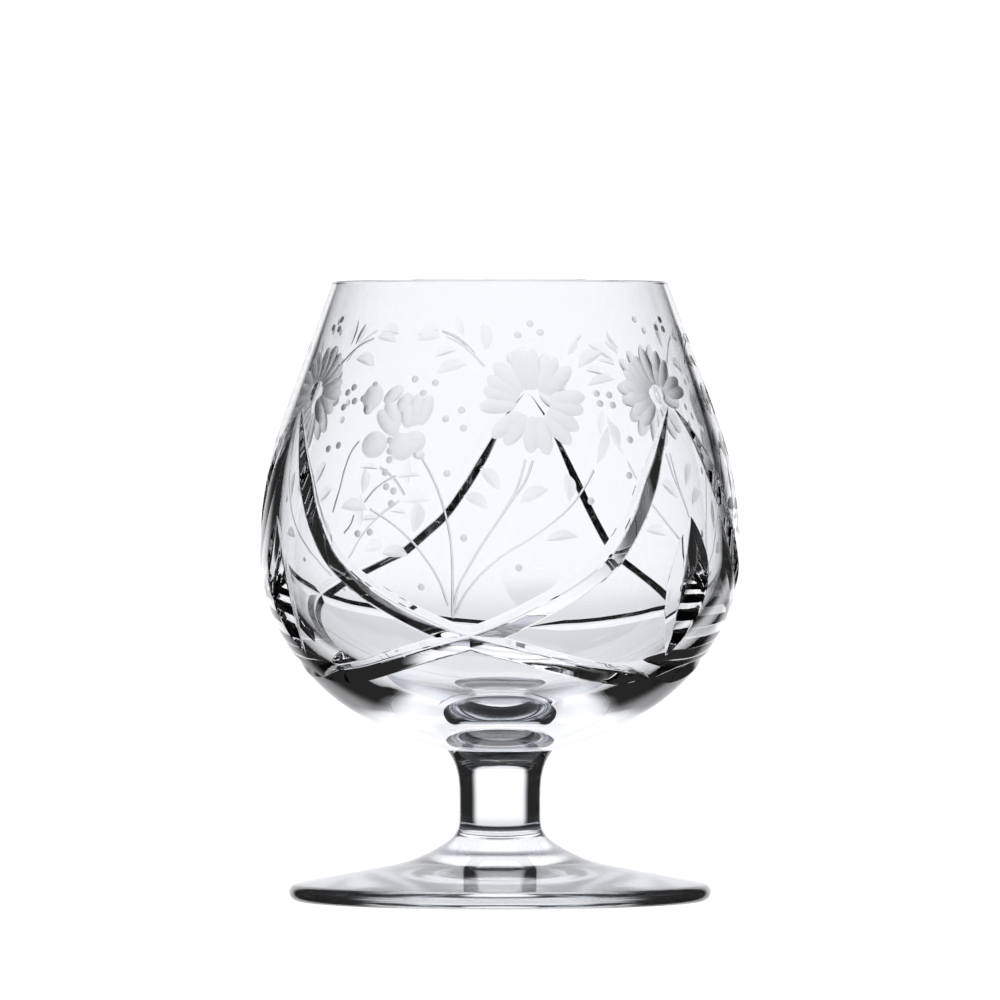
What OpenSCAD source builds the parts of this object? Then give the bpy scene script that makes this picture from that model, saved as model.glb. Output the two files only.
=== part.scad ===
// Brandy snifter in heavy cut glass: bowl, stem and foot, fused end to end.
// Millimetres, +Z up. Origin at the centre of the foot's underside, front of the glass at -Y.
// The bowl carries a three-panel ornament of crossing mitre cuts with a leaf cut under each peak.

/* [Overall] */
// Height from the table to the top of the rim
glass_height = 123.7; // [112:0.1:136]
// Flat facets round each turned piece
turn_steps = 72; // [48:12:120]

/* [Bowl] */
// Outside diameter at the rim
rim_diameter = 67.4; // [60:0.2:74]
// Widest outside diameter of the bowl
belly_diameter = 96; // [88:0.5:106]
// Height of the widest ring above the table
belly_height = 69.8; // [63:0.2:76]
// Height that the bowl's oval underside would reach on the axis
bowl_bottom_height = 29.2; // [26:0.2:32]
// Roundness of the shoulder, as a share of the fullest arc that still reaches the rim
shoulder_share = 0.76; // [0.5:0.02:0.96]
// Wall thickness at the rim
rim_wall = 1.3; // [1:0.1:2]
// Wall thickness at the widest ring
belly_wall = 3.5; // [3:0.1:5]
// Slope of the straight run from the oval underside down to the stem, in degrees
tail_slope = 16; // [14:0.5:20]
// Thickness of glass between the oval underside and the cavity
base_thickness = 7.8; // [6.6:0.2:11]

/* [Stem] */
// Diameter of the stem at its waist
waist_diameter = 16.2; // [14:0.2:20]
// Height of the waist above the table
waist_height = 18; // [16:0.2:20]
// Diameter where the stem joins the bowl
stem_top_diameter = 21.2; // [19.4:0.2:25]
// Diameter where the stem joins the hub of the foot
hub_diameter = 18.6; // [17.5:0.2:22]
// How late the stem flares towards its ends
flare_power = 3.8; // [2:0.1:5]

/* [Foot] */
// Outside diameter of the foot
foot_diameter = 84.4; // [76:0.2:92]
// Thickness of the foot at its rounded edge
foot_edge = 3.4; // [2.6:0.1:4.4]
// Slope of the foot's upper face in degrees
foot_slope = 11; // [8:0.5:14]
// Height of the hub, where the stem begins
hub_height = 12.8; // [11.5:0.1:14]
// Width of the hollow curve between hub and upper face
hub_flare = 12; // [8:0.5:15]
// Width of the flat ring the glass stands on
rest_ring = 7; // [5:0.5:12]
// Depth of the shallow hollow under the foot
foot_hollow = 0.5; // [0.3:0.1:1.2]

/* [Mitre cuts] */
// Panels round the bowl
panel_count = 3; // [3:1:4]
// Turn of the first panel's middle from the front, in degrees
panel_turn = -8; // [-60:1:60]
// Height of the peaks, where two cuts start
peak_height = 99.6; // [94:0.2:103]
// Height of the lower points, where two cuts end
foot_point_height = 44.8; // [42:0.2:47]
// Depth of the crossing cuts
cut_depth = 1.6; // [1.2:0.1:2]
// Angle between the two faces of a crossing cut
cut_angle = 114; // [100:2:130]
// Height of the upper tip of the leaf cuts
leaf_top_height = 78; // [74:0.5:82]
// Height of the lower tip of the leaf cuts
leaf_bottom_height = 48.4; // [46:0.2:51]
// Depth of the leaf cuts at their middle
leaf_depth = 2; // [1.4:0.1:2.4]
// Width of the leaf cuts at their middle
leaf_width = 16; // [12:0.5:19]
// Extra height at the middle of the one cut that rides up, behind and to the left
rear_lift = 7.4; // [0:0.2:9]
// How far the cutting edge is drawn past the surface
cut_margin = 1; // [0.6:0.1:1.5]

/* [Hidden] */

crystal = [0.86, 0.91, 0.94, 0.45];
bowl_steps = 12;
shoulder_steps = 7;
rim_steps = 4;
stem_steps = 4;
hub_steps = 8;
hollow_steps = 4;
edge_steps = 6;
cut_steps = 44;
leaf_steps = 18;

belly_r = belly_diameter / 2;
rim_r = rim_diameter / 2;
rim_round = rim_wall / 2;
rim_height = glass_height - rim_round;
cavity_bottom = bowl_bottom_height + base_thickness;
cavity_belly_r = belly_r - belly_wall;
cavity_rim_r = rim_r - rim_wall;
waist_r = waist_diameter / 2;
stem_top_r = stem_top_diameter / 2;
hub_r = hub_diameter / 2;
edge_r = foot_edge / 2;
edge_centre_r = foot_diameter / 2 - edge_r;
hollow_r = edge_centre_r - rest_ring;
hollow_ball_r = (hollow_r * hollow_r + foot_hollow * foot_hollow) / (2 * foot_hollow);

// An oval cup: half oval below the widest ring, an arc above it, then a straight taper to the rim.
function oval_radius(z, wide_r, low_z) =
    wide_r * sqrt(max(0, 1 - pow((belly_height - z) / (belly_height - low_z), 2)));
function arc_radius(wide_r, top_r) =
    let (rise = rim_height - belly_height, inset = wide_r - top_r)
    shoulder_share * (rise * rise + inset * inset) / (2 * inset);
function taper_angle(wide_r, top_r) =
    let (arc_r = arc_radius(wide_r, top_r), run = top_r - wide_r + arc_r, rise = rim_height - belly_height)
    atan2(rise, run) - acos(arc_r / sqrt(run * run + rise * rise));
function shoulder_point(turn, wide_r, arc_r) =
    [wide_r - arc_r * (1 - cos(turn)), belly_height + arc_r * sin(turn)];
function oval_point(turn, wide_r, low_z) =
    [wide_r * sin(turn), belly_height - (belly_height - low_z) * cos(turn)];
function lower_points(wide_r, low_z, start_turn) = [
    for (i = [0 : bowl_steps - 1])
        oval_point(start_turn + (90 - start_turn) * i / bowl_steps, wide_r, low_z)
];
function upper_points(wide_r, top_r) = [
    for (i = [0 : shoulder_steps])
        shoulder_point(taper_angle(wide_r, top_r) * i / shoulder_steps, wide_r, arc_radius(wide_r, top_r))
];
function reversed(points) = [for (i = [len(points) - 1 : -1 : 0]) points[i]];

tail_turn = atan(tan(tail_slope) * belly_r / (belly_height - bowl_bottom_height));
tail_start = oval_point(tail_turn, belly_r, bowl_bottom_height);
stem_top_height = tail_start[1] - (tail_start[0] - stem_top_r) * tan(tail_slope);

function outer_radius(z) =
    let (
        arc_r = arc_radius(belly_r, rim_r),
        taper = taper_angle(belly_r, rim_r),
        shoulder = shoulder_point(taper, belly_r, arc_r)
    )
    z < belly_height ? oval_radius(z, belly_r, bowl_bottom_height)
    : z < shoulder[1] ? belly_r - arc_r + sqrt(arc_r * arc_r - pow(z - belly_height, 2))
    : shoulder[0] - (z - shoulder[1]) * tan(taper);

// Crossing cuts: stations from peak to lower point, as shares of half a panel's turn and of the drop.
cut_turn_shares = [1, 0.89, 0.78, 0.7, 0.61, 0.53, 0.39, 0.19, 0.01, -0.21, -0.4, -0.63, -1];
cut_drop_shares = [1, 0.88, 0.72, 0.59, 0.47, 0.4, 0.31, 0.215, 0.153, 0.104, 0.064, 0.027, 0];
lead_in_share = 0.17;
lead_out_share = 0.05;
lift_share = 0.1;

function smooth_value(values, at) =
    let (
        last = len(values) - 1,
        i = min(floor(at * last), last - 1),
        u = at * last - i,
        a = values[max(i - 1, 0)],
        b = values[i],
        c = values[i + 1],
        d = values[min(i + 2, last)]
    )
    b + u * (c - a + u * (2 * a - 5 * b + 4 * c - d + u * (3 * (b - c) + d - a))) / 2;

half_panel = 180 / panel_count;
front = 270 + panel_turn;
slope_step = cut_margin / 8;

function on_bowl(turn, z, lift) =
    let (lean = (outer_radius(z + slope_step) - outer_radius(z - slope_step)) / (2 * slope_step))
    let (n = [1, -lean] / norm([1, lean]), r = outer_radius(z) + lift * n[0])
    [r * cos(turn), r * sin(turn), z + lift * n[1]];
function unit(v) = v / norm(v);

// One wheel stroke: a V section carried along the surface, its point sunk by the listed depths.
module stroke(turns, heights, depths, face_tan) {
    last = len(turns) - 1;
    base = [for (i = [0 : last]) on_bowl(turns[i], heights[i], 0)];
    above = [for (i = [0 : last]) on_bowl(turns[i], heights[i], cut_margin)];
    ring = [
        for (i = [0 : last])
            let (
                up = unit(above[i] - base[i]),
                along = unit(base[min(i + 1, last)] - base[max(i - 1, 0)]),
                side = unit(cross(up, along)),
                reach = (cut_margin + depths[i]) / face_tan
            )
            [above[i] + side * reach, base[i] - up * depths[i], above[i] - side * reach]
    ];
    polyhedron(
        points = [for (section = ring) each section],
        faces = [
            [2, 1, 0],
            [3 * last, 3 * last + 1, 3 * last + 2],
            for (i = [0 : last - 1], k = [0 : 2])
                let (a = 3 * i + k, b = 3 * i + (k + 1) % 3)
                each [[a, b, a + 3], [b, b + 3, a + 3]]
        ],
        convexity = 6
    );
}

module crossing_cut(middle, side, extra_height) {
    shares = [for (i = [0 : cut_steps]) i / cut_steps];
    turns = [for (s = shares) middle + side * half_panel * smooth_value(cut_turn_shares, s)];
    heights = [
        for (s = shares)
            foot_point_height + (peak_height - foot_point_height) * smooth_value(cut_drop_shares, s)
            + extra_height * sin(180 * s)
    ];
    depths = [
        for (s = shares)
            cut_depth * (min(1, s / lead_in_share, (1 - s) / lead_out_share) * (1 + lift_share) - lift_share)
    ];
    stroke(turns, heights, depths, tan(90 - cut_angle / 2));
}

module leaf_cut(turn) {
    shares = [for (i = [0 : leaf_steps]) i / leaf_steps];
    turns = [for (s = shares) turn];
    heights = [for (s = shares) leaf_top_height + (leaf_bottom_height - leaf_top_height) * s];
    depths = [for (s = shares) leaf_depth * ((1 + lift_share) * sin(180 * s) - lift_share)];
    stroke(turns, heights, depths, 2 * leaf_depth / leaf_width);
}

module mitre_cuts() {
    for (p = [0 : panel_count - 1]) {
        middle = front + 2 * half_panel * p;
        crossing_cut(middle, 1, 0);
        crossing_cut(middle, -1, p == 2 ? rear_lift : 0);
        leaf_cut(middle + half_panel);
    }
}

module bowl() {
    rim_arc = [
        for (i = [0 : rim_steps])
            let (turn = 180 * i / rim_steps)
            [rim_r - rim_round + rim_round * cos(turn), rim_height + rim_round * sin(turn)]
    ];
    section = concat(
        [[0, stem_top_height], [stem_top_r, stem_top_height]],
        lower_points(belly_r, bowl_bottom_height, tail_turn),
        upper_points(belly_r, rim_r),
        rim_arc,
        reversed(upper_points(cavity_belly_r, cavity_rim_r)),
        reversed(lower_points(cavity_belly_r, cavity_bottom, 0))
    );
    color(crystal)
        difference() {
            rotate_extrude($fn = turn_steps)
                polygon(section);
            mitre_cuts();
        }
}

module stem() {
    lower = [
        for (i = [0 : stem_steps])
            let (u = 1 - i / stem_steps)
            [waist_r + (hub_r - waist_r) * pow(u, flare_power), waist_height + (hub_height - waist_height) * u]
    ];
    upper = [
        for (i = [1 : 2 * stem_steps])
            let (u = i / (2 * stem_steps))
            [
                waist_r + (stem_top_r - waist_r) * pow(u, flare_power),
                waist_height + (stem_top_height - waist_height) * u
            ]
    ];
    color(crystal)
        rotate_extrude($fn = turn_steps)
            polygon(concat([[0, hub_height]], lower, upper, [[0, stem_top_height]]));
}

module foot() {
    edge_turn = 90 - foot_slope;
    slope_start = [edge_centre_r + edge_r * cos(edge_turn), edge_r + edge_r * sin(edge_turn)];
    function slope_point(r) = [r, slope_start[1] + (slope_start[0] - r) * tan(foot_slope)];
    edge_arc = [
        for (i = [0 : edge_steps])
            let (turn = -90 + (90 + edge_turn) * i / edge_steps)
            [edge_centre_r + edge_r * cos(turn), edge_r + edge_r * sin(turn)]
    ];
    bend = slope_point(hub_r + hub_flare * 2 / 5);
    bend_end = slope_point(hub_r + hub_flare);
    hub_curve = [
        for (i = [0 : hub_steps])
            let (u = i / hub_steps)
            bend_end * pow(1 - u, 2) + bend * 2 * u * (1 - u) + [hub_r, hub_height] * pow(u, 2)
    ];
    hollow = [
        for (i = [0 : hollow_steps])
            let (r = hollow_r * i / hollow_steps)
            [r, foot_hollow - hollow_ball_r + sqrt(hollow_ball_r * hollow_ball_r - r * r)]
    ];
    color(crystal)
        rotate_extrude($fn = turn_steps)
            polygon(concat(hollow, edge_arc, hub_curve, [[0, hub_height]]));
}

bowl();
stem();
foot();
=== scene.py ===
import math
import bmesh
import bpy
from mathutils import Matrix, Vector


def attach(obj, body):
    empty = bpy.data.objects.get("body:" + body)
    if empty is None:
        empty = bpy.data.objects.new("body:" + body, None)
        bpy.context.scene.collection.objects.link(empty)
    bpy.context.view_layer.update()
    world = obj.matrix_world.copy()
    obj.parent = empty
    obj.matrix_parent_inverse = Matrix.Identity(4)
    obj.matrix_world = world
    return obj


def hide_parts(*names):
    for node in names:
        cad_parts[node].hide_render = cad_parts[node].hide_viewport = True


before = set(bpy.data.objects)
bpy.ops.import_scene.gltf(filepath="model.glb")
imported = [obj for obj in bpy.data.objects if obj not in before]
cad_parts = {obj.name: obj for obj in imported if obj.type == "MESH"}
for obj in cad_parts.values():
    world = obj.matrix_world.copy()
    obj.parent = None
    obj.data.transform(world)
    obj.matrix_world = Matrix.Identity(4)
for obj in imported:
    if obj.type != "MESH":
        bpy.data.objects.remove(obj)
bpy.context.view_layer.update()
scene = bpy.context.scene
mm = 0.001

print("materials")
glassIndex = 1.54
wave = {"detail": 1.5, "calmAbove": 0.085, "fullBelow": 0.055}


# slight waviness, stronger low down where the glass is thick
def unevenGlass():
    group = bpy.data.node_groups.new("unevenGlass", "ShaderNodeTree")
    group.interface.new_socket("Scale", in_out="INPUT", socket_type="NodeSocketFloat")
    group.interface.new_socket("Relief", in_out="INPUT", socket_type="NodeSocketFloat")
    group.interface.new_socket("Amount", in_out="OUTPUT", socket_type="NodeSocketFloat")
    group.interface.new_socket("Normal", in_out="OUTPUT", socket_type="NodeSocketVector")
    start, end = group.nodes.new("NodeGroupInput"), group.nodes.new("NodeGroupOutput")
    coords, noise = group.nodes.new("ShaderNodeTexCoord"), group.nodes.new("ShaderNodeTexNoise")
    noise.inputs["Detail"].default_value = wave["detail"]
    bump = group.nodes.new("ShaderNodeBump")
    place, low = group.nodes.new("ShaderNodeSeparateXYZ"), group.nodes.new("ShaderNodeMapRange")
    low.inputs["From Min"].default_value = wave["calmAbove"]
    low.inputs["From Max"].default_value = wave["fullBelow"]
    relief = group.nodes.new("ShaderNodeMath")
    relief.operation = "MULTIPLY"
    group.links.new(coords.outputs["Object"], place.inputs["Vector"])
    group.links.new(place.outputs["Z"], low.inputs["Value"])
    group.links.new(low.outputs["Result"], relief.inputs[0])
    group.links.new(start.outputs["Relief"], relief.inputs[1])
    group.links.new(start.outputs["Scale"], noise.inputs["Scale"])
    group.links.new(coords.outputs["Object"], noise.inputs["Vector"])
    group.links.new(noise.outputs["Fac"], bump.inputs["Height"])
    group.links.new(relief.outputs["Value"], bump.inputs["Distance"])
    group.links.new(noise.outputs["Fac"], end.inputs["Amount"])
    group.links.new(bump.outputs["Normal"], end.inputs["Normal"])
    return group


uneven = unevenGlass()


def glassMaterial(name, look):
    material = bpy.data.materials.new(name)
    material.use_nodes = True
    nodes, links = material.node_tree.nodes, material.node_tree.links
    shader = nodes["Principled BSDF"]
    shader.inputs["Metallic"].default_value = 0.0
    shader.inputs["Transmission Weight"].default_value = 1.0
    shader.inputs["IOR"].default_value = glassIndex
    vary = nodes.new("ShaderNodeGroup")
    vary.node_tree = uneven
    vary.inputs["Scale"].default_value = look["scale"]
    vary.inputs["Relief"].default_value = look["relief"]
    tint = nodes.new("ShaderNodeMix")
    tint.data_type = "RGBA"
    tint.inputs["A"].default_value = (*look["pale"], 1)
    tint.inputs["B"].default_value = (*look["deep"], 1)
    rough = nodes.new("ShaderNodeMapRange")
    rough.inputs["To Min"].default_value = look["rough"][0]
    rough.inputs["To Max"].default_value = look["rough"][1]
    links.new(vary.outputs["Amount"], tint.inputs["Factor"])
    links.new(vary.outputs["Amount"], rough.inputs["Value"])
    links.new(tint.outputs["Result"], shader.inputs["Base Color"])
    links.new(rough.outputs["Result"], shader.inputs["Roughness"])
    links.new(vary.outputs["Normal"], shader.inputs["Normal"])
    return material


clear = glassMaterial("clearGlass", {"scale": 90.0, "relief": 0.00003, "rough": (0.0, 0.004),
                                     "pale": (0.99, 0.995, 1.0), "deep": (0.975, 0.985, 0.995)})
frosted = glassMaterial("frostedGlass", {"scale": 1200.0, "relief": 0.000004, "rough": (0.42, 0.52),
                                         "pale": (0.98, 0.985, 0.99), "deep": (0.93, 0.94, 0.955)})
worn = glassMaterial("wornGlass", {"scale": 300.0, "relief": 0.000002, "rough": (0.07, 0.14),
                                   "pale": (0.985, 0.99, 1.0), "deep": (0.965, 0.975, 0.99)})
ground = glassMaterial("groundGlass", {"scale": 1200.0, "relief": 0.000004, "rough": (0.62, 0.74),
                                       "pale": (0.97, 0.975, 0.985), "deep": (0.92, 0.93, 0.945)})
satin = glassMaterial("satinGlass", {"scale": 1200.0, "relief": 0.000004, "rough": (0.32, 0.4),
                                     "pale": (0.985, 0.99, 0.995), "deep": (0.95, 0.96, 0.97)})

# where two pieces are fused the join lets light straight through
seam = bpy.data.materials.new("fusedSeam")
seam.use_nodes = True
seamShader = seam.node_tree.nodes["Principled BSDF"]
seamShader.inputs["Transmission Weight"].default_value = 1.0
seamShader.inputs["Alpha"].default_value = 0.0

# material slots: clear glass, the seam, then the dulled finishes
seamSlot, wornSlot = 1, 2
# how near counts as touching, in mm
slack = {"join": 0.001, "seam": 0.0005, "stalk": 0.0005, "foot": 0.01, "form": 0.016, "axis": 0.00001}


def spun(profile, segments):
    bm = bmesh.new()
    verts = [bm.verts.new((r, 0, z)) for r, z in profile]
    edges = [bm.edges.new(pair) for pair in zip(verts, verts[1:])]
    bmesh.ops.spin(bm, geom=verts + edges, cent=(0, 0, 0), axis=(0, 0, 1),
                   angle=math.tau, steps=segments, use_merge=True)
    bmesh.ops.remove_doubles(bm, verts=bm.verts, dist=slack["join"])
    bmesh.ops.recalc_face_normals(bm, faces=bm.faces)
    return bm


def markSeam(bm, height):
    for face in bm.faces:
        if all(abs(v.co.z - height) < slack["seam"] for v in face.verts):
            face.material_index = seamSlot


def asMesh(bm, name):
    bmesh.ops.recalc_face_normals(bm, faces=bm.faces)
    mesh = bpy.data.meshes.new(name)
    bm.to_mesh(mesh)
    bm.free()
    return mesh


def asObject(mesh, materials):
    mesh.transform(Matrix.Scale(mm, 4))
    for material in materials:
        mesh.materials.append(material)
    made = bpy.data.objects.new(mesh.name, mesh)
    scene.collection.objects.link(made)
    return made


def carve(target, mesh, material):
    cutter = asObject(mesh, [material])
    cut = target.modifiers.new(mesh.name, "BOOLEAN")
    cut.operation = "DIFFERENCE"
    cut.solver = "MANIFOLD"
    cut.material_mode = "TRANSFER"
    cut.object = cutter
    bpy.context.view_layer.objects.active = target
    bpy.ops.object.modifier_apply(modifier=cut.name)
    bpy.data.objects.remove(cutter)


def crease(piece, clearAngle, frostAngle):
    bm = bmesh.new()
    bm.from_mesh(piece.data)
    for face in bm.faces:
        face.smooth = True
    for edge in bm.edges:
        if len(edge.link_faces) != 2:
            continue
        one, two = edge.link_faces
        if one.material_index != two.material_index:
            edge.smooth = False
        else:
            limit = frostAngle if one.material_index > seamSlot else clearAngle
            edge.smooth = edge.calc_face_angle() < math.radians(limit)
    bm.to_mesh(piece.data)
    bm.free()


def finished(piece, node):
    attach(piece, "root")
    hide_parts(node)
    piece.visible_shadow = piece.visible_diffuse = False


print("bowl")
bowlShape = {
    "rimRadius": 33.7, "bellyRadius": 48.0, "bellyHeight": 69.8, "bottomHeight": 29.2,
    "rimTop": 123.7, "rimWall": 1.3, "bellyWall": 3.5, "baseThickness": 7.8,
    "shoulder": 0.76, "tailSlope": 16.0, "stemRadius": 10.6, "segments": 216,
    "outerSteps": (52, 22, 12), "innerSteps": (40, 16, 10), "rimSteps": 32,
}
rimRound = bowlShape["rimWall"] / 2
rimHeight = bowlShape["rimTop"] - rimRound
bellyHeight = bowlShape["bellyHeight"]


def cup(wide, top, low):
    rise, inset = rimHeight - bellyHeight, wide - top
    arc = bowlShape["shoulder"] * (rise * rise + inset * inset) / (2 * inset)
    taper = math.atan2(rise, arc - inset) - math.acos(arc / math.hypot(arc - inset, rise))
    return {"wide": wide, "top": top, "deep": bellyHeight - low, "arc": arc, "taper": taper,
            "shoulder": bellyHeight + arc * math.sin(taper)}


def cupRadius(z, form):
    if z < bellyHeight:
        return form["wide"] * math.sqrt(max(0.0, 1 - ((bellyHeight - z) / form["deep"]) ** 2))
    if z < form["shoulder"]:
        return form["wide"] - form["arc"] + math.sqrt(form["arc"] ** 2 - (z - bellyHeight) ** 2)
    return form["top"] + (rimHeight - z) * math.tan(form["taper"])


def cupNormal(point, form):
    r, z = math.hypot(point.x, point.y), point.z
    if z < bellyHeight:
        across, up = r / form["wide"] ** 2, (z - bellyHeight) / form["deep"] ** 2
    elif z < form["shoulder"]:
        across, up = r - form["wide"] + form["arc"], z - bellyHeight
    else:
        across, up = math.cos(form["taper"]), math.sin(form["taper"])
    r = max(r, slack["axis"])
    return Vector((across * point.x / r, across * point.y / r, up)).normalized()


def ovalPoint(turn, form):
    return form["wide"] * math.sin(turn), bellyHeight - form["deep"] * math.cos(turn)


def cupProfile(form, start, steps):
    points = [ovalPoint(start + (math.pi / 2 - start) * i / steps[0], form) for i in range(steps[0])]
    for i in range(steps[1]):
        z = bellyHeight + form["arc"] * math.sin(form["taper"] * i / steps[1])
        points.append((cupRadius(z, form), z))
    for i in range(steps[2] + 1):
        z = form["shoulder"] + (rimHeight - form["shoulder"]) * i / steps[2]
        points.append((cupRadius(z, form), z))
    return points


outer = cup(bowlShape["bellyRadius"], bowlShape["rimRadius"], bowlShape["bottomHeight"])
inner = cup(bowlShape["bellyRadius"] - bowlShape["bellyWall"],
            bowlShape["rimRadius"] - bowlShape["rimWall"],
            bowlShape["bottomHeight"] + bowlShape["baseThickness"])
tailFall = math.tan(math.radians(bowlShape["tailSlope"]))
tailTurn = math.atan(tailFall * outer["wide"] / outer["deep"])
tailRadius, tailHeight = ovalPoint(tailTurn, outer)
stemTop = tailHeight - (tailRadius - bowlShape["stemRadius"]) * tailFall
outside = [(bowlShape["stemRadius"], stemTop)] + cupProfile(outer, tailTurn, bowlShape["outerSteps"])
inside = cupProfile(inner, 0.0, bowlShape["innerSteps"])
rim = []
for i in range(1, bowlShape["rimSteps"]):
    turn = math.pi * i / bowlShape["rimSteps"]
    rim.append((bowlShape["rimRadius"] - rimRound + rimRound * math.cos(turn),
                rimHeight + rimRound * math.sin(turn)))
bowlMesh = spun([(0, stemTop)] + outside + rim + inside[::-1], bowlShape["segments"])
markSeam(bowlMesh, stemTop)
bowl = asObject(asMesh(bowlMesh, "bowl_cut_glass"), [clear, seam, frosted, satin, ground])

print("mitre cuts")
cutShape = {
    "panels": 3, "front": 270, "panelTurn": -8.0, "peakHeight": 99.6, "lowHeight": 44.8,
    "rearCut": (2, -1), "rearLift": 7.4,
    "depth": 1.6, "angle": 114.0, "margin": 1.0, "lip": 0.35, "bottom": 0.5, "steps": 96,
    "leadIn": 0.17, "leadOut": 0.05, "lift": 0.1,
    "turns": [1, 0.89, 0.78, 0.7, 0.61, 0.53, 0.39, 0.19, 0.01, -0.21, -0.4, -0.63, -1],
    "drops": [1, 0.88, 0.72, 0.59, 0.47, 0.4, 0.31, 0.215, 0.153, 0.104, 0.064, 0.027, 0],
    "leafTop": 78.0, "leafBottom": 48.4, "leafDepth": 2.0, "leafWidth": 16.0, "leafSteps": 40,
}
panelAngle = 360 / cutShape["panels"]
# the bowl's curve across a groove, and limits that keep a shallow groove's section in order
groove = {"bowlRound": 45, "shallowest": 0.02, "lipShare": 0.4, "lipRise": 0.012, "overhang": 0.25,
          "bottomShare": 0.35, "bottomBend": 0.63}


def onBowl(turn, z, lift=0.0):
    angle = math.radians(cutShape["front"] + cutShape["panelTurn"] + turn)
    r = cupRadius(z, outer)
    point = Vector((r * math.cos(angle), r * math.sin(angle), z))
    normal = cupNormal(point, outer)
    return point + normal * lift, normal


def along(values, share):
    last = len(values) - 1
    i = min(int(share * last), last - 1)
    u = share * last - i
    a, b, c, d = values[max(i - 1, 0)], values[i], values[i + 1], values[min(i + 2, last)]
    return b + u * (c - a + u * (2 * a - 5 * b + 4 * c - d + u * (3 * (b - c) + d - a))) / 2


# half of a groove's section as (out, up): rounded lip, straight face, rounded bottom
def halfGroove(depth, slope, margin, lip, bottom):
    bend, deep = groove["bowlRound"], max(depth, groove["shallowest"])
    out = bend * (math.sqrt(slope * slope + 2 * deep / bend) - slope)
    edge = Vector((out, slope * out - deep))
    face = Vector((1, slope)).normalized()
    lip = min(lip, groove["lipShare"] * edge.x)
    low, high = edge - face * lip, edge + Vector((lip, groove["lipRise"] - lip * out / bend))
    points = [Vector((high.x + groove["overhang"], margin))]
    for q in (1, 0.75, 0.5, 0.25, 0):
        points.append(low * (1 - q) ** 2 + edge * 2 * q * (1 - q) + high * q * q)
    bottom = min(bottom, groove["bottomShare"] * out)
    points.append(Vector((bottom, slope * bottom - deep)))
    points.append(Vector((bottom * 0.5, slope * bottom * groove["bottomBend"] - deep)))
    return [point + Vector((0, deep - depth)) for point in points], slope * bottom * 0.5 - depth


# a groove along a path of (turn, height), with its own slope on each side
def stroke(bm, path, depths, slopes, margin, lip, bottom):
    seats = [onBowl(turn, z) for turn, z in path]
    rings = []
    for i, (point, normal) in enumerate(seats):
        ahead = seats[min(i + 1, len(seats) - 1)][0] - seats[max(i - 1, 0)][0]
        side = normal.cross(ahead).normalized()
        one, floorHeight = halfGroove(depths[i], slopes[0], margin, lip, bottom)
        two, _ = halfGroove(depths[i], slopes[1], margin, lip, bottom)
        section = one + [Vector((0, floorHeight))] + [Vector((-p.x, p.y)) for p in two[::-1]]
        rings.append([bm.verts.new(point + side * p.x + normal * p.y) for p in section])
    for one, two in zip(rings, rings[1:]):
        for k in range(len(one)):
            bm.faces.new((one[k], one[k - 1], two[k - 1], two[k]))
    bm.faces.new(rings[0])
    bm.faces.new(rings[-1])


def crossingCuts(side):
    bm = bmesh.new()
    drop, lift = cutShape["peakHeight"] - cutShape["lowHeight"], cutShape["lift"]
    slope = math.tan(math.radians(90 - cutShape["angle"] / 2))
    shares = [i / cutShape["steps"] for i in range(cutShape["steps"] + 1)]
    for panel in range(cutShape["panels"]):
        # one cut on the far side rides higher
        extra = cutShape["rearLift"] if (panel, side) == cutShape["rearCut"] else 0.0
        turns = [panelAngle * panel + side * panelAngle / 2 * along(cutShape["turns"], s) for s in shares]
        heights = [cutShape["lowHeight"] + drop * along(cutShape["drops"], s) + extra * math.sin(math.pi * s)
                   for s in shares]
        depths = [min(1, s / cutShape["leadIn"], (1 - s) / cutShape["leadOut"]) for s in shares]
        depths = [cutShape["depth"] * (d * (1 + lift) - lift) for d in depths]
        stroke(bm, list(zip(turns, heights)), depths, (slope, slope),
               cutShape["margin"], cutShape["lip"], cutShape["bottom"])
    return asMesh(bm, "crossingCuts")


def leafCuts():
    bm = bmesh.new()
    lift, fall = cutShape["lift"], cutShape["leafBottom"] - cutShape["leafTop"]
    slope = 2 * cutShape["leafDepth"] / cutShape["leafWidth"]
    shares = [i / cutShape["leafSteps"] for i in range(cutShape["leafSteps"] + 1)]
    for panel in range(cutShape["panels"]):
        path = [(panelAngle * panel + panelAngle / 2, cutShape["leafTop"] + fall * s) for s in shares]
        depths = [cutShape["leafDepth"] * ((1 + lift) * math.sin(math.pi * s) - lift) for s in shares]
        stroke(bm, path, depths, (slope, slope), cutShape["margin"], cutShape["lip"], cutShape["bottom"])
    return asMesh(bm, "leafCuts")


carve(bowl, leafCuts(), clear)
carve(bowl, crossingCuts(1), clear)
carve(bowl, crossingCuts(-1), clear)

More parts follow.
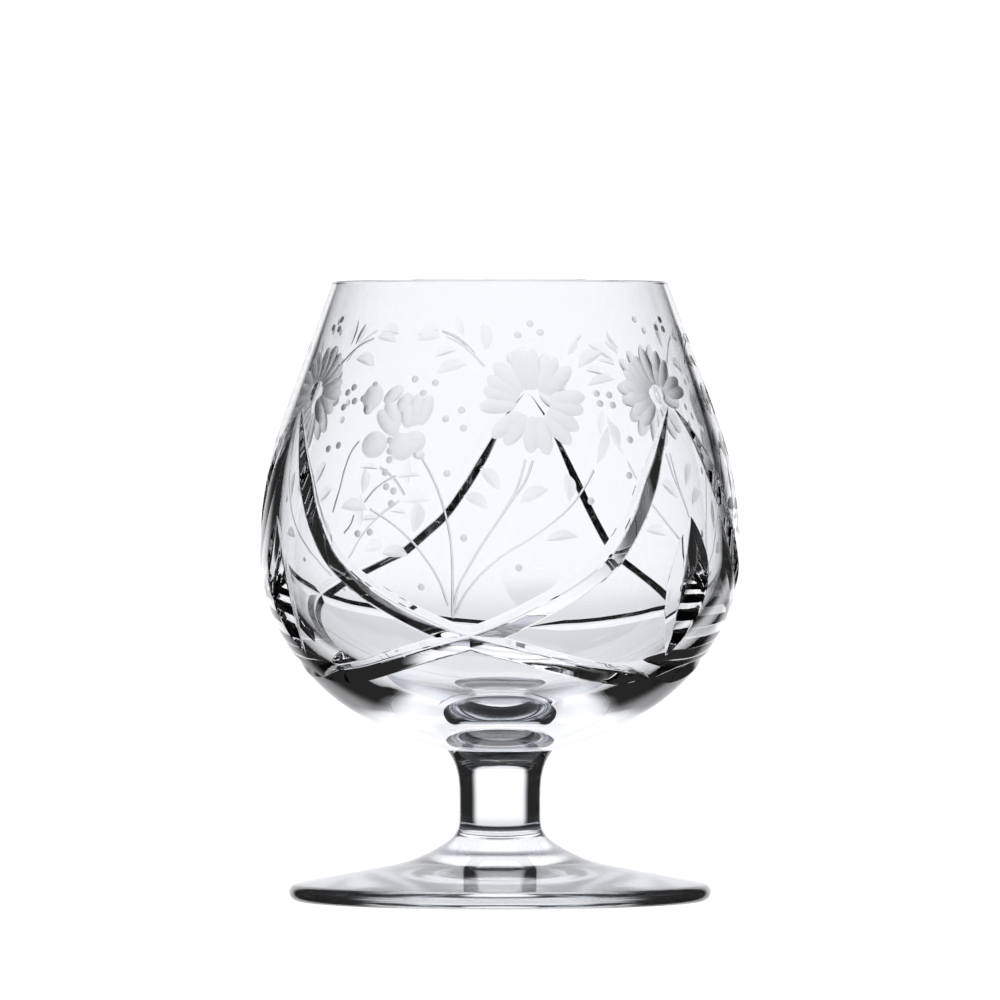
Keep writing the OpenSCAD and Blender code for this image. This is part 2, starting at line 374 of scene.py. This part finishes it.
# flowers, leaves and dots: turn in degrees from the middle of a panel, then height and sizes in mm
print("engraving")
engraved = {
    "lobeTurn": 8.8, "inner": 1.9, "outer": 10.9, "lobeWidth": 3.6, "heart": 2.2, "heartDepth": 0.2,
    "petalTilt": 1.6, "petalDrift": (2.3, 3.1), "petalVary": 0.035, "looseTilt": 2.0, "ballLift": 2.2,
    "flower": (16.9, 99.4, 1.0, [98, 51, -1, -42, -87, -131, 175, 142]),
    "peakFlowers": [
        (56.3, 100.9, 0.85, [214, 174, 141, 108, 62, 14]), (179.2, 100.4, 0.78, [208, 168, 128, 88, 50, 10]),
        (306.7, 101.7, 0.85, [205, 166, 126, 84, 46, 4, -38]),
    ],
    "halfFlower": [
        (-28.6, 100.2, 5.6, 5.2, 70), (-29.2, 98.2, 2.8, 2.4, 100), (-22.7, 95.8, 8.6, 3.6, -42),
        (-21.4, 97.4, 7.4, 3.4, -57), (-22.2, 100.8, 5.4, 3.0, 42), (-18.3, 99.2, 4.6, 3.2, 58),
        (-16.9, 97.5, 6.6, 3.2, -78), (-14.5, 97.4, 7.2, 3.4, 90), (-12.1, 97.5, 6.9, 3.2, 78),
        (-25.6, 91.1, 6.8, 5.8, 10), (-17.6, 90.9, 6.6, 6.0, -20), (-14.4, 91.4, 5.8, 5.0, 30),
        (-12.4, 89.2, 2.4, 2.0, 0),
    ],
    "leaves": [
        (2.8, 115.3, 3.8, 109.2, 3.0), (31.7, 112.2, 27.6, 108.4, 1.6), (30.2, 105.9, 39.6, 109.3, 2.8),
        (40.4, 111.5, 44.7, 108.8, 1.2), (37.2, 107.7, 43.0, 106.6, 1.2), (32.2, 102.5, 42.0, 103.9, 2.0),
        (36.7, 94.9, 32.1, 86.8, 2.4), (37.0, 96.0, 39.5, 90.6, 2.0), (-37.8, 115.3, -40.5, 110.5, 1.8),
        (-32.3, 112.2, -24.1, 111.1, 2.2), (-38.7, 108.0, -31.1, 106.5, 2.2),
        (-18.0, 111.5, -9.7, 112.2, 2.6),
        (-10.7, 104.9, -1.1, 106.8, 3.0), (-26.8, 86.7, -26.9, 81.2, 2.6), (-33.6, 78.6, -24.9, 78.4, 3.0),
        (-27.0, 76.2, -21.7, 76.7, 1.2), (-18.0, 84.6, -11.1, 85.0, 1.2), (-12.0, 80.4, -12.7, 73.6, 3.8),
        (-21.1, 69.6, -13.7, 69.4, 3.0), (2.9, 86.6, 8.0, 81.9, 3.2), (-1.0, 81.2, 5.5, 78.4, 3.0),
        (12.4, 79.4, 19.9, 82.4, 3.2), (24.2, 85.8, 24.6, 79.7, 3.0), (18.2, 72.2, 26.9, 73.1, 2.2),
    ],
    "dots": [
        (13.3, 112.7), (17.2, 114.9), (20.2, 113.2), (35.0, 101.2), (38.8, 100.9), (35.5, 99.2), (39.3, 98.9),
        (-51.5, 115.9), (-55.4, 114.3), (-51.3, 114.0), (-36.1, 102.4), (-38.0, 101.4), (-34.6, 99.7),
        (-38.1, 98.5), (-28.6, 102.9), (-31.7, 100.2), (-16.1, 104.0), (-10.0, 103.3), (-13.1, 101.3),
        (-2.1, 97.9), (-6.1, 96.2), (-1.3, 94.4), (-40.2, 90.3), (-36.7, 91.0), (-21.0, 85.7), (-20.3, 82.9),
        (-18.3, 82.1), (-18.7, 79.6), (-27.7, 73.7), (-24.2, 74.0), (-0.5, 72.9), (-11.0, 63.3), (-4.9, 85.5),
        (12.4, 67.1), (30.1, 80.1), (41.0, 85.1), (42.7, 92.1), (-20.8, 92.0), (-20.4, 89.9), (-20.2, 88.2),
    ],
    "stalks": [
        [(-44.1, 107.2), (-40.4, 109.6), (-36.4, 111.2), (-33.1, 112.0)],
        [(-8.0, 112.4), (-3.9, 111.1), (0.4, 108.8), (3.6, 106.5)],
        [(-24.5, 78.6), (-18.8, 76.0), (-13.8, 72.8), (-9.7, 68.9), (-6.5, 64.6), (-4.5, 59.6)],
        [(-26.1, 79.8), (-23.3, 82.4), (-20.9, 83.8), (-18.0, 85.0)],
        [(-28.9, 77.3), (-29.8, 75.4), (-31.7, 73.7)],
        [(14.2, 88.2), (12.9, 84.5), (10.6, 80.3), (7.4, 76.1)],
        [(16.0, 88.0), (14.2, 84.2), (11.3, 80.8), (7.4, 76.1), (3.6, 71.3), (0.4, 66.8), (-2.0, 63.1),
         (-3.7, 57.2)],
        [(31.3, 86.1), (29.0, 83.2), (24.6, 78.9), (19.2, 75.2), (14.1, 72.3), (9.0, 69.7), (5.2, 67.1),
         (2.0, 64.4), (-0.7, 61.5), (-3.0, 58.0)],
    ],
    "petalStalks": [
        [(-29.9, 91.8), (-31.6, 90.1), (-33.1, 86.6), (-34.0, 82.6), (-35.6, 77.8)],
        [(-11.5, 88.6), (-8.5, 84.8), (-5.9, 80.0), (-4.1, 74.7), (-3.3, 69.4), (-3.3, 63.6), (-3.7, 57.2)],
    ],
    "dotSize": 1.5, "stalkRound": 0.3, "stalkLift": 0.16, "depth": 0.36, "dotDepth": 0.16,
    "plain": (140, 236),
}
leafShape = {"depth": 0.18, "bow": 0.05, "lift": 0.12, "wideSide": 0.72, "narrowSide": 0.28,
             "margin": 0.12, "lip": 0.04, "bottom": 0.02, "steps": 12, "clearance": 0.5}
rise = 0.94  # height gained per mm up the sloping shoulder
layers = {frosted: [], satin: [], ground: [], clear: []}


# cutters that overlap go into separate layers, so each Boolean gets clean pieces
def layOut(mesh, centre, reach, material):
    for layer in layers[material]:
        if all((centre - other).length > reach + far for _, other, far in layer):
            layer.append((mesh, centre, reach))
            return
    layers[material].append([(mesh, centre, reach)])


ballMesh = bmesh.new()
bmesh.ops.create_uvsphere(ballMesh, u_segments=24, v_segments=16, radius=1)
ball = asMesh(ballMesh, "scoopForm")


def scoop(turn, z, length, width, depth, spin=0.0, tilt=0.0, material=frosted):
    lift = depth * engraved["ballLift"]
    spread = math.sqrt(1 - (lift / (lift + depth)) ** 2)
    point, normal = onBowl(turn, z, lift)
    right = Vector((0, 0, 1)).cross(normal).normalized()
    basis = Matrix((right, normal.cross(right), normal)).transposed().to_4x4()
    mesh = ball.copy()
    mesh.transform(Matrix.Translation(point) @ basis @ Matrix.Rotation(math.radians(spin), 4, "Z")
                   @ Matrix.Rotation(math.radians(tilt), 4, "Y")
                   @ Matrix.Diagonal((length / 2 / spread, width / 2 / spread, lift + depth, 1)))
    layOut(mesh, point, max(length, width) / 2 / spread, material)


def flower(turn, z, size, petals):
    r = cupRadius(z, outer)
    # no two petals are quite alike
    turnDrift, reachDrift = engraved["petalDrift"]
    for i, petal in enumerate(petals):
        for lobe in (-1, 1):
            angle = petal + lobe * (engraved["lobeTurn"] + math.sin(i * turnDrift))
            reach = size * engraved["outer"] * (1 + engraved["petalVary"] * math.sin(i * reachDrift + lobe))
            middle, length = (size * engraved["inner"] + reach) / 2, reach - size * engraved["inner"]
            x, y = middle * math.cos(math.radians(angle)), middle * math.sin(math.radians(angle))
            scoop(turn + math.degrees(x / r), z + y * rise, length, size * engraved["lobeWidth"],
                  engraved["depth"], angle, engraved["petalTilt"])


def leaf(turnA, zA, turnB, zB, width):
    bm = bmesh.new()
    bow = leafShape["bow"] * math.hypot(turnB - turnA, zB - zA)
    shares = [i / leafShape["steps"] for i in range(leafShape["steps"] + 1)]
    path = [(turnA + (turnB - turnA) * s, zA + (zB - zA) * s + bow * math.sin(math.pi * s)) for s in shares]
    deep, lift = leafShape["depth"], leafShape["lift"]
    depths = [deep * ((1 + lift) * math.sin(math.pi * s) - lift) for s in shares]
    slopes = (deep / (leafShape["wideSide"] * width), deep / (leafShape["narrowSide"] * width))
    stroke(bm, path, depths, slopes, leafShape["margin"], leafShape["lip"], leafShape["bottom"])
    start, end = onBowl(*path[0])[0], onBowl(*path[-1])[0]
    reach = (start - end).length / 2 + leafShape["clearance"]
    layOut(asMesh(bm, "leaf"), (start + end) / 2, reach, satin)


# the far side has no dots or half flower, so they don't show through behind the front flowers
def inPlain(turn):
    return engraved["plain"][0] < turn < engraved["plain"][1]


for panel in range(cutShape["panels"]):
    base = panelAngle * panel
    turn, z, size, petals = engraved["flower"]
    flower(base + turn, z, size, petals)
    for turn, z, length, width, spin in engraved["halfFlower"]:
        if not inPlain(base + turn):
            scoop(base + turn, z, length, width, engraved["depth"], spin, engraved["looseTilt"])
    for turnA, zA, turnB, zB, width in engraved["leaves"]:
        leaf(base + turnA, zA, base + turnB, zB, width)
    dotSize = engraved["dotSize"]
    for turn, z in engraved["dots"]:
        if not inPlain(base + turn):
            scoop(base + turn, z, dotSize, dotSize, engraved["dotDepth"], material=ground)
heartSize = 2 * engraved["heart"]
for turn, z, size, petals in engraved["peakFlowers"]:
    flower(turn, z, size, petals)
    scoop(turn, z, heartSize, heartSize, engraved["heartDepth"], material=clear)


def stalkLines(points, panels):
    bm = bmesh.new()
    for panel in panels:
        curve = bpy.data.curves.new("stalk", "CURVE")
        curve.dimensions = "3D"
        curve.bevel_depth = engraved["stalkRound"]
        curve.bevel_resolution = 2
        curve.resolution_u = 8
        curve.use_fill_caps = True
        line = curve.splines.new("BEZIER")
        line.bezier_points.add(len(points) - 1)
        for spot, (turn, z) in zip(line.bezier_points, points):
            spot.co = onBowl(panelAngle * panel + turn, z, engraved["stalkLift"])[0]
            spot.handle_left_type = spot.handle_right_type = "AUTO"
        holder = bpy.data.objects.new("stalk", curve)
        scene.collection.objects.link(holder)
        bpy.context.view_layer.update()
        bm.from_mesh(holder.to_mesh())
        holder.to_mesh_clear()
        bpy.data.objects.remove(holder)
    bmesh.ops.remove_doubles(bm, verts=bm.verts, dist=slack["stalk"])
    return asMesh(bm, "stalks")


for material, stack in layers.items():
    for layer in stack:
        bm = bmesh.new()
        for mesh, _, _ in layer:
            bm.from_mesh(mesh)
            bpy.data.meshes.remove(mesh)
        carve(bowl, asMesh(bm, "scoops"), material)
for points in engraved["stalks"]:
    carve(bowl, stalkLines(points, range(cutShape["panels"])), frosted)
for points in engraved["petalStalks"]:
    panels = [p for p in range(cutShape["panels"]) if not inPlain(panelAngle * p + points[0][0])]
    carve(bowl, stalkLines(points, panels), frosted)
crease(bowl, clearAngle=6.0, frostAngle=24.0)


# the turned surfaces keep their true normals right up to the edge of each cut
def trueNormals(piece):
    mesh = piece.data
    normals = [corner.vector.copy() for corner in mesh.corner_normals]
    points = [vert.co / mm for vert in mesh.vertices]
    for form, sign in ((outer, 1), (inner, -1)):
        exact = []
        for p in points:
            away = abs(math.hypot(p.x, p.y) - cupRadius(p.z, form))
            turned = tailHeight < p.z < rimHeight and away < slack["form"]
            exact.append(cupNormal(p, form) * sign if turned else None)
        for face in mesh.polygons:
            if face.material_index <= seamSlot and all(exact[v] for v in face.vertices):
                for loop in face.loop_indices:
                    normals[loop] = exact[mesh.loops[loop].vertex_index]
    mesh.normals_split_custom_set(normals)


trueNormals(bowl)
finished(bowl, "bowl")
print("bowl triangles", sum(len(p.vertices) - 2 for p in bowl.data.polygons))

print("stem")
stemShape = {"waistRadius": 8.1, "waistHeight": 18.0, "hubRadius": 9.3, "hubHeight": 12.8,
             "topRadius": bowlShape["stemRadius"], "flare": 3.8, "segments": 160,
             "lowerSteps": 14, "upperSteps": 30}
waist, waistHeight = stemShape["waistRadius"], stemShape["waistHeight"]
lowerShares = [1 - i / stemShape["lowerSteps"] for i in range(stemShape["lowerSteps"])]
upperShares = [i / stemShape["upperSteps"] for i in range(stemShape["upperSteps"] + 1)]
stemLine = []
for endRadius, endHeight, shares in (
        (stemShape["hubRadius"], stemShape["hubHeight"], lowerShares),
        (stemShape["topRadius"], stemTop, upperShares)):
    for u in shares:
        stemLine.append((waist + (endRadius - waist) * u ** stemShape["flare"],
                         waistHeight + (endHeight - waistHeight) * u))
stemMesh = spun([(0, stemShape["hubHeight"])] + stemLine + [(0, stemTop)], stemShape["segments"])
markSeam(stemMesh, stemTop)
markSeam(stemMesh, stemShape["hubHeight"])
stem = asObject(asMesh(stemMesh, "stem_glass"), [clear, seam])
crease(stem, clearAngle=30.0, frostAngle=30.0)
finished(stem, "stem")

print("foot")
footShape = {"radius": 42.2, "edge": 3.4, "slope": 11.0, "hubFlare": 12.0, "hubBend": 0.4,
             "restRing": 7.0, "hollow": 0.5, "segments": 216,
             "hollowSteps": 16, "edgeSteps": 24, "slopeSteps": 12, "hubSteps": 20}
edgeRound = footShape["edge"] / 2
edgeCentre = footShape["radius"] - edgeRound
edgeTurn = math.radians(90 - footShape["slope"])
slopeStart = Vector((edgeCentre + edgeRound * math.cos(edgeTurn), edgeRound + edgeRound * math.sin(edgeTurn)))
slopeRise = math.tan(math.radians(footShape["slope"]))


def slopePoint(r):
    return Vector((r, slopeStart.y + (slopeStart.x - r) * slopeRise))


hollowRadius = edgeCentre - footShape["restRing"]
hollowBall = (hollowRadius ** 2 + footShape["hollow"] ** 2) / (2 * footShape["hollow"])
footLine = []
for i in range(footShape["hollowSteps"] + 1):
    r = hollowRadius * i / footShape["hollowSteps"]
    footLine.append((r, footShape["hollow"] - hollowBall + math.sqrt(hollowBall ** 2 - r * r)))
for i in range(footShape["edgeSteps"] + 1):
    turn = -math.pi / 2 + (math.pi / 2 + edgeTurn) * i / footShape["edgeSteps"]
    footLine.append((edgeCentre + edgeRound * math.cos(turn), edgeRound + edgeRound * math.sin(turn)))
hub = Vector((stemShape["hubRadius"], stemShape["hubHeight"]))
bend = slopePoint(hub.x + footShape["hubFlare"] * footShape["hubBend"])
bendEnd = slopePoint(hub.x + footShape["hubFlare"])
for i in range(1, footShape["slopeSteps"]):
    footLine.append(tuple(slopeStart.lerp(bendEnd, i / footShape["slopeSteps"])))
for i in range(footShape["hubSteps"] + 1):
    u = i / footShape["hubSteps"]
    footLine.append(tuple(bendEnd * (1 - u) ** 2 + bend * 2 * u * (1 - u) + hub * u * u))
footMesh = spun(footLine + [(0, hub.y)], footShape["segments"])
markSeam(footMesh, hub.y)
# the standing face is dulled by use
wornTop, wornEdge = footShape["hollow"] + slack["foot"], edgeCentre + slack["foot"]
for face in footMesh.faces:
    if all(v.co.z < wornTop and math.hypot(v.co.x, v.co.y) < wornEdge for v in face.verts):
        face.material_index = wornSlot
foot = asObject(asMesh(footMesh, "foot_glass"), [clear, seam, worn])
crease(foot, clearAngle=30.0, frostAngle=30.0)
finished(foot, "foot")

print("camera and light")
eye = {"distance": 2.0, "height": 0.0938, "pitch": 0.395, "lens": 360.0, "sensor": 36.0, "reach": 50.0}
camera = bpy.data.objects.new("camera", bpy.data.cameras.new("camera"))
camera.data.lens = eye["lens"]
camera.data.sensor_width = eye["sensor"]
camera.data.clip_end = eye["reach"]
camera.location = (0, -eye["distance"], eye["height"])
camera.rotation_euler = (math.radians(90 - eye["pitch"]), 0, 0)
scene.collection.objects.link(camera)
scene.camera = camera
bpy.context.view_layer.update()

# the floor lies just under the lit table, which lies just under the foot
floorShape = {"size": 6000, "colour": (0.86, 0.86, 0.86, 1), "drop": -0.0002}
floorMesh = bmesh.new()
bmesh.ops.create_grid(floorMesh, x_segments=1, y_segments=1, size=floorShape["size"])
floorPaint = bpy.data.materials.new("floorPaint")
floorPaint.use_nodes = True
floorShader = floorPaint.node_tree.nodes["Principled BSDF"]
floorShader.inputs["Base Color"].default_value = floorShape["colour"]
floorShader.inputs["Roughness"].default_value = 1.0
floorShader.inputs["Specular IOR Level"].default_value = 0.0
floor = asObject(asMesh(floorMesh, "floor"), [floorPaint])
floor.location.z = floorShape["drop"]
floor.visible_transmission = floor.visible_glossy = False

# cards seen only in the glass: a bright one behind it, carried by the camera, and the lit table, whose dim
# middle is painted shadow of the stem and hub
cards = {
    "radius": 700.0, "centre": 60.0, "halfWidth": 34.0, "low": -60.0, "high": 45.0, "steps": 24,
    "bright": 1.19, "tint": (0.975, 0.978, 1.0), "rise": (-560.0, 50.0), "sides": (0.42, 0.67),
    "riseLevels": [(0.0, 1.1), (0.42, 1.0), (0.59, 0.76), (0.75, 0.78), (0.9, 0.97), (1.0, 1.0)],
    "sideLevels": [(0.0, 1.0), (0.25, 0.85), (0.75, 0.18), (1.0, 0.03)],
    "table": 41.0, "tableBright": 0.8, "tableTint": (0.86, 0.905, 1.0), "tableDrop": -0.0001,
    # the table card glows dim in the middle: painted shadow of the stem and hub on the lit table
    "tableLevels": [(0.0, 0.08), (0.35, 0.08), (0.8, 1.0), (1.0, 1.0)],
}


def lightCard(name, bm, colour):
    paint = bpy.data.materials.new(name + "Paint")
    paint.use_nodes = True
    nodes, links = paint.node_tree.nodes, paint.node_tree.links
    glow = nodes.new("ShaderNodeEmission")
    glow.inputs["Color"].default_value = (*colour, 1)
    links.new(glow.outputs["Emission"], nodes["Material Output"].inputs["Surface"])
    paint.cycles.emission_sampling = "NONE"
    card = asObject(asMesh(bm, name), [paint])
    card.visible_camera = card.visible_diffuse = card.visible_shadow = False
    return card, nodes, links, glow


# strength of a card from curves, each over a distance or a slope
def fadeCard(nodes, links, glow, bright, fades):
    strength = None
    for source, (start, end), levels in fades:
        share, ramp = nodes.new("ShaderNodeMapRange"), nodes.new("ShaderNodeFloatCurve")
        level = nodes.new("ShaderNodeMath")
        share.inputs["From Min"].default_value = start
        share.inputs["From Max"].default_value = end
        # a new curve already has two points
        curve = ramp.mapping.curves[0]
        for i, spot in enumerate(levels):
            if i < 2:
                curve.points[i].location = spot
            else:
                curve.points.new(*spot)
        ramp.mapping.update()
        level.operation = "MULTIPLY"
        level.inputs[1].default_value = bright
        links.new(source, share.inputs["Value"])
        links.new(share.outputs["Result"], ramp.inputs["Value"])
        links.new(ramp.outputs["Value"], level.inputs[0])
        if strength:
            links.new(strength, level.inputs[1])
        strength = level.outputs["Value"]
    links.new(strength, glow.inputs["Strength"])


backMesh = bmesh.new()
arcVerts = []
start = math.radians(90 + cards["halfWidth"])
for i in range(cards["steps"] + 1):
    up = math.radians(cards["low"] + (cards["high"] - cards["low"]) * i / cards["steps"])
    out = cards["radius"] * math.cos(up)
    arcVerts.append(backMesh.verts.new((out * math.cos(start), out * math.sin(start),
                                        cards["centre"] + cards["radius"] * math.sin(up))))
arcEdges = [backMesh.edges.new(pair) for pair in zip(arcVerts, arcVerts[1:])]
bmesh.ops.spin(backMesh, geom=arcVerts + arcEdges, cent=(0, 0, 0), axis=(0, 0, 1),
               angle=-math.radians(2 * cards["halfWidth"]), steps=cards["steps"])
backCard, nodes, links, glow = lightCard("backCard", backMesh, cards["tint"])
coords, place = nodes.new("ShaderNodeTexCoord"), nodes.new("ShaderNodeSeparateXYZ")
slant, aside = nodes.new("ShaderNodeMath"), nodes.new("ShaderNodeMath")
slant.operation, aside.operation = "DIVIDE", "ABSOLUTE"
links.new(coords.outputs["Object"], place.inputs["Vector"])
links.new(place.outputs["X"], slant.inputs[0])
links.new(place.outputs["Y"], slant.inputs[1])
links.new(slant.outputs["Value"], aside.inputs[0])
fadeCard(nodes, links, glow, cards["bright"], [
    (place.outputs["Z"], [z * mm for z in cards["rise"]], cards["riseLevels"]),
    (aside.outputs["Value"], cards["sides"], cards["sideLevels"])])
backCard.parent = camera
backCard.matrix_parent_inverse = camera.matrix_world.inverted()

tableMesh = bmesh.new()
bmesh.ops.create_circle(tableMesh, cap_ends=True, segments=96, radius=cards["table"])
tableCard, nodes, links, glow = lightCard("tableCard", tableMesh, cards["tableTint"])
coords, far = nodes.new("ShaderNodeTexCoord"), nodes.new("ShaderNodeVectorMath")
far.operation = "LENGTH"
links.new(coords.outputs["Object"], far.inputs[0])
fadeCard(nodes, links, glow, cards["tableBright"], [
    (far.outputs["Value"], (0.0, cards["table"] * mm), cards["tableLevels"])])
tableCard.location.z = cards["tableDrop"]

# the room is bright around the glass and dark inside it
room = {"seen": 1.25, "inGlass": 0.02}
world = bpy.data.worlds.new("studio")
scene.world = world
world.use_nodes = True
world.cycles.sampling_method = "NONE"
nodes, links = world.node_tree.nodes, world.node_tree.links
nodes["Background"].inputs["Color"].default_value = (1, 1, 1, 1)
paths = nodes.new("ShaderNodeLightPath")
inGlass = nodes.new("ShaderNodeMath")
inGlass.operation = "MAXIMUM"
strength = nodes.new("ShaderNodeMix")
strength.inputs["A"].default_value = room["seen"]
strength.inputs["B"].default_value = room["inGlass"]
links.new(paths.outputs["Is Glossy Ray"], inGlass.inputs[0])
links.new(paths.outputs["Is Transmission Ray"], inGlass.inputs[1])
links.new(inGlass.outputs["Value"], strength.inputs["Factor"])
links.new(strength.outputs["Result"], nodes["Background"].inputs["Strength"])

scene.view_settings.view_transform = "Standard"
scene.cycles.max_bounces = 24
scene.cycles.transmission_bounces = 24
scene.cycles.glossy_bounces = 12
scene.cycles.transparent_max_bounces = 16
